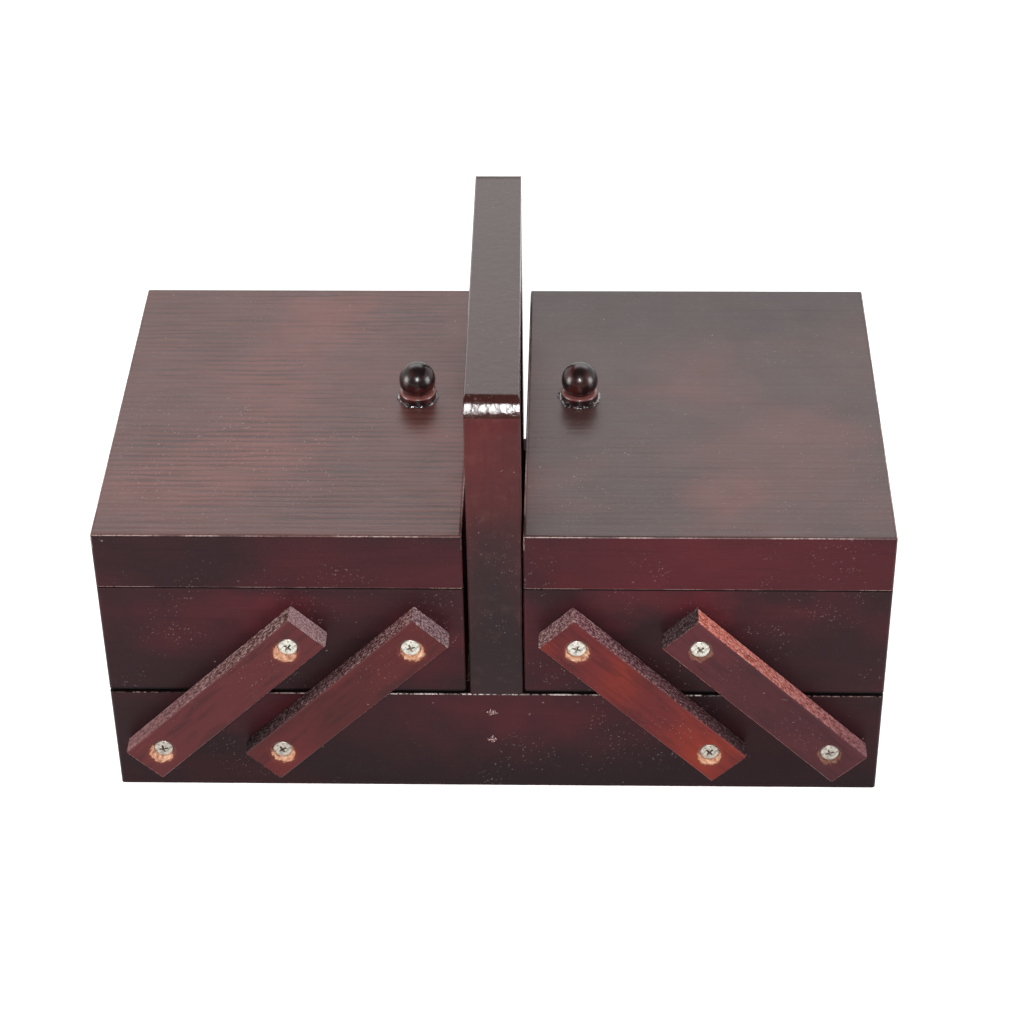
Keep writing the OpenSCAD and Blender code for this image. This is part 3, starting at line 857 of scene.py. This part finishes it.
def arm(
    side, face, place, seed, deep, wine, upper_side_with_light, lower_side_with_light, upper_end_with_light, bare, torn_at,
    patches=(), end_nap_and_glints=1.0,
):
    """One arm, its long sides coloured from the lower end to the upper, and its upper end, the sawn
    faces' colours carrying painted light and shade.

    Torn_at gives where the raw wood lies at each end, lengthwise and crosswise from the screw.
    """
    piece = solid_copy(f"{side}_arm_{face}_{place}", edge=0.25)
    reach = places[f"{side}_tray_level"] - places[f"{side}_tray_swing"]
    lean = math.atan2(reach.z, abs(reach.x)) * (1 if side == "left" else -1)
    at, half = own_place(piece, turn=-lean)
    shift = (seed * 61, seed * 17, seed * 7)
    shifted = moved(at, shift)
    deep, wine = paint(deep), paint(wine)
    colour, lines = stain(at, shift, "X", deep, wine, patches, blotch=0.8, grain=0.25)
    smudges = noise(drawn(shifted, "X", 0.2), 4, detail=4, roughness=0.65)
    colour = mixed(colour, paint("24161a"), (1 - smudges.within(0.36, 0.5)) * 0.35)
    colour, marks = dusted(at, shift, colour, 0.9, clusters=[((20, 0, 0), (20, 20, 8))])
    # The sawn sides and ends, with their raised nap. Their colours along the arm carry painted
    # light and shade, and the pale fibres, paler towards the upper end, are partly painted glints
    x = at.node("SeparateXYZ", {"Vector": at}, out="X")
    z = x.beside("Z")
    upwards = x if side == "left" else 0 - x
    from_end = half.x - x.sum("ABSOLUTE", x)
    from_side = half.z - x.sum("ABSOLUTE", z)
    sawn = 1 - x.sum("MINIMUM", from_end, from_side).within(*sawn_rim)
    nap = noise(drawn(shifted, "X", 0.5), 0.5, detail=4, roughness=0.8)
    raised = (upwards / arm_length + 0.5).clamped()
    sawn_and_light_colour = mixed(paint(lower_side_with_light), paint(upper_side_with_light), raised)
    at_end = (1 - from_end.within(*sawn_rim)) * raised
    sawn_and_light_colour = mixed(sawn_and_light_colour, paint(upper_end_with_light), at_end)
    fibres = noise(drawn(shifted, "X", 0.6), 0.8, detail=4, roughness=0.8)
    pale = fibres.within(0.5, 0.6) * (raised * 0.6 + 0.12) * (1 - at_end * (1 - end_nap_and_glints))
    sawn_and_light_colour = mixed(sawn_and_light_colour, paint("d8bab4"), pale)
    sawn_and_light_colour = mixed(sawn_and_light_colour, paint("180c10"), (1 - fibres.within(0.39, 0.5)) * 0.85)
    colour = mixed(colour, sawn_and_light_colour, sawn)
    colour = rubbed_edges(at, half, colour, paint("a87868"), 0.5, 0.25)[0]
    # The countersinks, with raw wood and a stained ring round it. The raw wood is set low, so that
    # the stain left over the upper wall stands partly for the shade there
    torn = noise(drawn(shifted, "X", 0.6), 1.8, detail=3, roughness=0.65)
    raws, rings = [], []
    for end, (lengthwise, crosswise) in zip((-1, 1), torn_at):
        front_y = -half.y if face == "front" else half.y
        middle = Vector((end * reach.length * 1000 / 2 + lengthwise, front_y, crosswise))
        away = at.node("VectorMath", {0: at, 1: middle}, operation="SUBTRACT")
        away = at.node("VectorMath", {0: away}, out="Value", operation="LENGTH")
        away = away + (torn - 0.5) * 3
        raws.append(1 - away.within(raw_r - 0.6, raw_r + 0.1))
        rings.append(1 - away.within(raw_r - 0.2, raw_r + 1.6))
    raw, stained_ring = raws[0] + raws[1], rings[0] + rings[1]
    raw = raw.clamped()
    pits = noise(drawn(shifted, "X", 0.4), 1.1, detail=3, roughness=0.65)
    raw_wood = mixed(paint("d29c7c"), paint("8a5440"), (1 - pits.within(0.36, 0.5)) * 0.7)
    raw_wood = mixed(raw_wood, paint("f0cfb2"), pits.within(0.52, 0.66) * 0.9)
    colour = mixed(colour, paint("74382a"), stained_ring.clamped() * 0.5 * bare)
    colour = mixed(colour, raw_wood, raw * 0.95 * bare)
    roughness = noise(shifted, 6) * 0.16 + sawn * 0.3 + raw * 0.3 + 0.34
    height = marks * 0.04 + sawn * nap * 0.5 + raw * pits * 0.3 - lines * 0.03
    finished(at, colour, roughness.clamped(), height, Specular_IOR_Level=0.14)


# Each arm's sawn faces: the wood's colour with painted light and shade, differing arm by arm
arm_looks = {
    "left_outer": {
        "deep": "562628", "wine": "70322e", "upper_side_with_light": "583532", "lower_side_with_light": "926466",
        "upper_end_with_light": "a47f85", "bare": 0.9, "torn_at": [(-1.5, -0.5), (-1.7, -0.4)],
    },
    "left_inner": {
        "deep": "4a1f20", "wine": "682828", "upper_side_with_light": "643238", "lower_side_with_light": "180c11",
        "upper_end_with_light": "86666e", "bare": 0.9, "torn_at": [(-0.5, -0.9), (-0.1, -1.0)],
    },
    "right_inner": {
        "deep": "5e2223", "wine": "842f20", "upper_side_with_light": "7c4652", "lower_side_with_light": "2e1a1f",
        "upper_end_with_light": "7a4f52", "bare": 0.85, "torn_at": [(0.8, -0.7), (0.8, -0.9)],
        "patches": [((34, 0, -2), (26, 30, 20), 0.8)],
    },
    "right_outer": {
        "deep": "431f24", "wine": "5c2a2f", "upper_side_with_light": "de7460", "lower_side_with_light": "86565c",
        "upper_end_with_light": "3a272c", "bare": 0.2, "torn_at": [(0.4, -0.3), (0.3, -0.4)],
        "end_nap_and_glints": 0.3,
    },
}
for number, side in enumerate(("left", "right")):
    for face in ("front", "back"):
        for place in ("outer", "inner"):
            seed = 1 + 4 * number + 2 * (face == "back") + (place == "inner")
            arm(side, face, place, seed, **arm_looks[f"{side}_{place}"])


# Lids
# Each lid is a flat board on four rails, brushed along the grain before staining. The worn satin
# lacquer shows fine ridges, reddish clouds and dust, and a pale line along the front edge, rubbed
# wear that is partly a painted highlight.
groove_spacing = 2.95
groove_dark = "1c1011"
# Pale edges of the lid's top board: rubbed wear, partly a painted highlight
edge_pale_and_highlight = "dcc4bc"
# From the middle of the lid's front rail to the middle of its top
from_rail = (0, 72.75, 11.1)


def lid_top(side, seed, deep, ridged, clouds, side_patches, clusters, rail_seed, dark=()):
    """A lid's top board. Ridged is how strong its ridges are, and its sides match the rail."""
    piece = solid_copy(f"{side}_lid_top_panel", edge=0.12)
    at, half = own_place(piece)
    shift = (seed * 50, seed * 9, 0)
    shifted = moved(at, shift)
    deep, wine = paint(deep), paint("7e4640")
    colour = stain(at, shift, "X", deep, wine, clouds, blotch=0.25, grain=0.1)[0]
    # Dark patches: painted shade where the lid shows less sheen
    for middle, size, amount in dark:
        colour = mixed(colour, paint("2a1716"), patch(wavering(at, 12), middle, size) * amount)
    ridges = noise(drawn(shifted, "X", 0.065), 1.4, roughness=0.65, distortion=0.5)
    waves_at = drawn(moved(shifted, (3, 7, 1)), "X", 0.05)
    low_waves = noise(waves_at, 3.4, detail=1, distortion=0.4)
    dashes = noise(drawn(moved(shifted, (9, 2, 1)), "X", 0.16), 0.5, roughness=0.6)
    strong = (noise(shifted, 40, detail=1).within(0.35, 0.6) * 0.5 + 0.5) * ridged
    colour = mixed(colour, paint(groove_dark), ridges.within(0.5, 0.62) * strong * 0.3)
    grooves = at.node("TexWave", {
        "Vector": drawn(shifted, "X", 0.12), "Scale": math.pi / 10 / groove_spacing,
        "Distortion": 4.5, "Detail": 2, "Detail Scale": 1.6, "Detail Roughness": 0.65,
    }, out="Fac", bands_direction="Y")
    broken = noise(drawn(shifted, "X", 0.3), 9).within(0.36, 0.6) * 0.7 + 0.3
    cut = grooves.within(0.45, 0.95) * broken * strong
    colour = mixed(colour, paint(groove_dark), cut * 0.5)
    colour = mixed(colour, paint("a08c88"), dashes.within(0.6, 0.72) * 0.2)
    colour, marks = dusted(at, shift, colour, 1.2, clusters)
    free = ("both", "both", "high")
    colour = rubbed_edges(at, half, colour, paint(edge_pale_and_highlight), 0.6, 0.9, free)[0]
    roughness = noise(shifted, 12) * 0.1 + dashes * 0.1 + 0.22
    height = marks * 0.04 - (ridges * 0.05 + grooves * 0.05) * strong
    height = height - low_waves * 0.14 - dashes * 0.02
    top = surface(at, colour, roughness, height, Specular_IOR_Level=0.39)
    # The board's sides are stained as the rail under it is
    rail_at = moved(at, from_rail)
    colour, roughness, height = box_stain(
        rail_at, half, "X", board_shift(rail_seed), side_patches, free=none_free
    )
    colour = rubbed_edges(at, half, colour, paint(edge_pale_and_highlight), 0.6, 0.9, free)[0]
    edge = surface(at, colour, roughness, height, Specular_IOR_Level=wall_sheen)
    level = at.node("SeparateXYZ", {"Vector": at}, out="Z")
    upper = level.within(half.z - 0.55, half.z - 0.25)
    at.node("OutputMaterial", {"Surface": at.node("MixShader", {0: upper, 1: edge, 2: top})})


left_clouds = [
    ((8, 58, 0), (34, 36, 30), 0.6), ((-6, 15, 0), (34, 44, 30), 0.45),
    ((-14, -26, 0), (44, 30, 30), 0.55), ((-40, -52, 0), (36, 26, 30), 0.45),
]
right_clouds = [
    ((2, 24, 0), (26, 44, 30), 0.25), ((3, -52, 0), (26, 20, 30), 0.45),
    ((40, -30, 0), (26, 40, 30), 0.2),
]
# Painted shade over the back of the right lid, where it reflects less of the light
right_back_painted_shade = [((10, 66, 0), (120, 44, 30), 0.7)]
rail_patches = {
    "left": [((12, 0, 2), (34, 200, 30), 0.4), ((50, 0, 2), (30, 200, 30), 0.3)],
    "right": [((-24, 0, 4), (60, 200, 40), 0.7), ((36, 0, 4), (70, 200, 40), 0.7)],
}
left_clusters = [
    ((-36, -16, 0), (50, 34, 9)), ((-44, -50, 0), (40, 26, 9)), ((0, -40, 0), (40, 30, 9)),
]
right_clusters = [((56, -20, 0), (14, 40, 9)), ((-44, -54, 0), (26, 20, 9))]
rail_seeds = {"left": 20, "right": 25}
lid_top(
    "left", seed=1, deep="5e3632", ridged=1.0, clouds=left_clouds, clusters=left_clusters,
    side_patches=rail_patches["left"], rail_seed=rail_seeds["left"],
)
lid_top(
    "right", seed=2, deep="48302e", ridged=0.3, clouds=right_clouds, clusters=right_clusters,
    side_patches=rail_patches["right"], rail_seed=rail_seeds["right"], dark=right_back_painted_shade,
)
lid_edge = 0.12
foot_free = ("both", "both", "low")
foot_free_between = ("both", "none", "low")
for side in ("left", "right"):
    seed = rail_seeds[side]
    box_board(
        f"{side}_lid_front_rail", "X", seed, lid_edge,
        patches=rail_patches[side], free=foot_free, share=0.7,
    )
    box_board(f"{side}_lid_back_rail", "X", seed + 1, lid_edge, free=foot_free)
    box_board(f"{side}_lid_outer_rail", "Y", seed + 2, lid_edge, free=foot_free_between)
    box_board(f"{side}_lid_inner_rail", "Y", seed + 3, lid_edge, free=foot_free_between)


# Knobs
# Small turned knobs, a ball on a collar, dipped in a thick gloss lacquer over dark red stain.
# Each is screwed from inside the lid, and a ring of lacquer has set round its foot.
ball_r = 6.45
ball_centre = 7.3
collar_r = 6.65
collar_h = 3.2
rim_r = 0.9
neck_r = 4.75
bead_r = 0.7
bead_ring_r = collar_r + 0.1


def knob_profile():
    """Foot, collar with a rounded rim, neck and ball, in radius and height above the lid."""
    rings = [(collar_r - 0.25, 0), (collar_r, 0.25), (collar_r, collar_h - rim_r)]
    for step in range(1, 5):
        turn = math.radians(22.5 * step)
        across, up = collar_r - rim_r + rim_r * math.cos(turn), rim_r * math.sin(turn)
        rings.append((across, collar_h - rim_r + up))
    rings.append((neck_r, collar_h))
    lowest = math.asin((collar_h - ball_centre) / ball_r)
    steps = 23
    for step in range(steps):
        turn = lowest + (math.pi / 2 - lowest) * step / steps
        rings.append((ball_r * math.cos(turn), ball_centre + ball_r * math.sin(turn)))
    return rings + [(0.05, ball_centre + ball_r)]


def knob(side, bead_width, seed):
    """A knob, its collar's rim painted pinkish, partly worn lacquer and partly a painted sheen,
    with its bead and its screw.
    """
    low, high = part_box(f"{side}_lid_knob")
    foot = Vector(((low.x + high.x) / 2, (low.y + high.y) / 2, low.z))
    piece = turned(f"{side}_knob", knob_profile(), sides=64)
    piece.data.transform(Matrix.Translation(foot))
    at, half = own_place(piece)
    cloud = noise(moved(at, (seed * 9, 0, 0)), 5, distortion=0.5)
    colour = mixed(paint("190c0d"), paint("3a1613"), cloud.within(0.42, 0.66))
    level = at.node("SeparateXYZ", {"Vector": at}, out="Z") + half.z
    across = at.node("VectorMath", {0: at, 1: (1, 1, 0)}, operation="MULTIPLY")
    radius = at.node("VectorMath", {0: across}, out="Value", operation="LENGTH")
    low_part = 1 - level.within(collar_h + 0.3, collar_h + 0.5)
    # The collar's pinkish rim: lacquer worn to the wood, and a painted sheen from the light above
    rim = level.within(collar_h - rim_r, collar_h - 0.4) * radius.within(4.8, 5.1) * low_part
    colour = mixed(colour, paint("7c4a46"), rim * (cloud * 0.6 + 0.5))
    dents = noise(at, 2.4)
    nibs = specks(at, every=1.6, size=0.4, share=0.4)
    finished(
        at, colour, cloud * 0.1 + 0.22, dents * 0.06 + nibs * 0.02, Specular_IOR_Level=0.15,
        Coat_Weight=0.85, Coat_Roughness=0.26, Coat_IOR=1.47,
    )
    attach(piece, f"{side}_lid")
    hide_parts(f"{side}_lid_knob")
    bead(side, foot, bead_width, seed)
    screw = frame["nodes"][f"{side}_lid_knob_screw"]
    zinc(screw)


def bead(side, foot, width, seed):
    """The uneven ring of lacquer round the knob's foot, its pale flecks painted glints."""
    bpy.ops.object.select_all(action="DESELECT")
    bpy.ops.mesh.primitive_torus_add(
        major_radius=bead_ring_r / 1000, minor_radius=bead_r / 1000,
        major_segments=180, minor_segments=14,
    )
    piece = bpy.context.object
    piece.name = f"{side}_knob_bead"
    bpy.ops.object.transform_apply()
    chance = random.Random(seed)
    swells = waves(chance, 7, chance.uniform, 0.1, 0.4)
    for vertex in piece.data.vertices:
        turn = math.atan2(vertex.co.y, vertex.co.x)
        swell = sum(much * math.sin(round(times) * turn + at) for at, times, much in swells)
        swell = width * (1 + swell / 2)
        out = Vector((math.cos(turn), math.sin(turn), 0)) * bead_ring_r / 1000
        away = vertex.co - out
        up = max(away.z, 0) * (0.5 + 0.3 * swell)
        vertex.co = out + Vector((away.x * swell, away.y * swell, up))
    piece.data.transform(Matrix.Translation(foot))
    bpy.ops.object.shade_smooth()
    at = own_place(piece)[0]
    cloud = noise(at, 1.4, detail=3, roughness=0.6)
    # Pale flecks on the ring: painted glints
    colour = mixed(paint("221719"), paint("b9adb0"), cloud.within(0.52, 0.64) * 0.6)
    finished(
        at, colour, cloud * 0.15 + 0.12, cloud * 0.18, Specular_IOR_Level=0.5,
        Coat_Weight=1.0, Coat_Roughness=0.05,
    )
    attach(piece, f"{side}_lid")


knob("left", bead_width=0.9, seed=3)
knob("right", bead_width=1.4, seed=5)


# Hinges
# Two brass-plated butt hinges on each lid's outer edge, let into both walls, their plating dull
# and scratched. Small screws hold them, and a steel pin runs through the knuckles.
def brass(piece, seed=0):
    at = own_place(piece)[0]
    rolled = noise(drawn(at, "Y", 0.08), 0.4, detail=3, roughness=0.6)
    tarnish = noise(moved(at, (seed * 13, 0, 0)), 5, detail=3, roughness=0.6).within(0.42, 0.66)
    colour = mixed(paint("b8954e"), paint("7a5a2c"), tarnish * 0.7)
    colour = mixed(colour, paint("d8bd7c"), rolled.within(0.6, 0.74) * 0.5)
    finished(at, colour, tarnish * 0.22 + 0.28, rolled * 0.012, Metallic=1.0)


for side in ("left", "right"):
    for node in (f"{side}_hinge_tray_leaves", f"{side}_hinge_lid_leaves"):
        brass(solid_copy(node, edge=0.08, segments=2))
    for node in (f"{side}_hinge_tray_screws", f"{side}_hinge_lid_screws"):
        brass(frame["nodes"][node], seed=1)
    drawn_steel(f"{side}_hinge_pins")
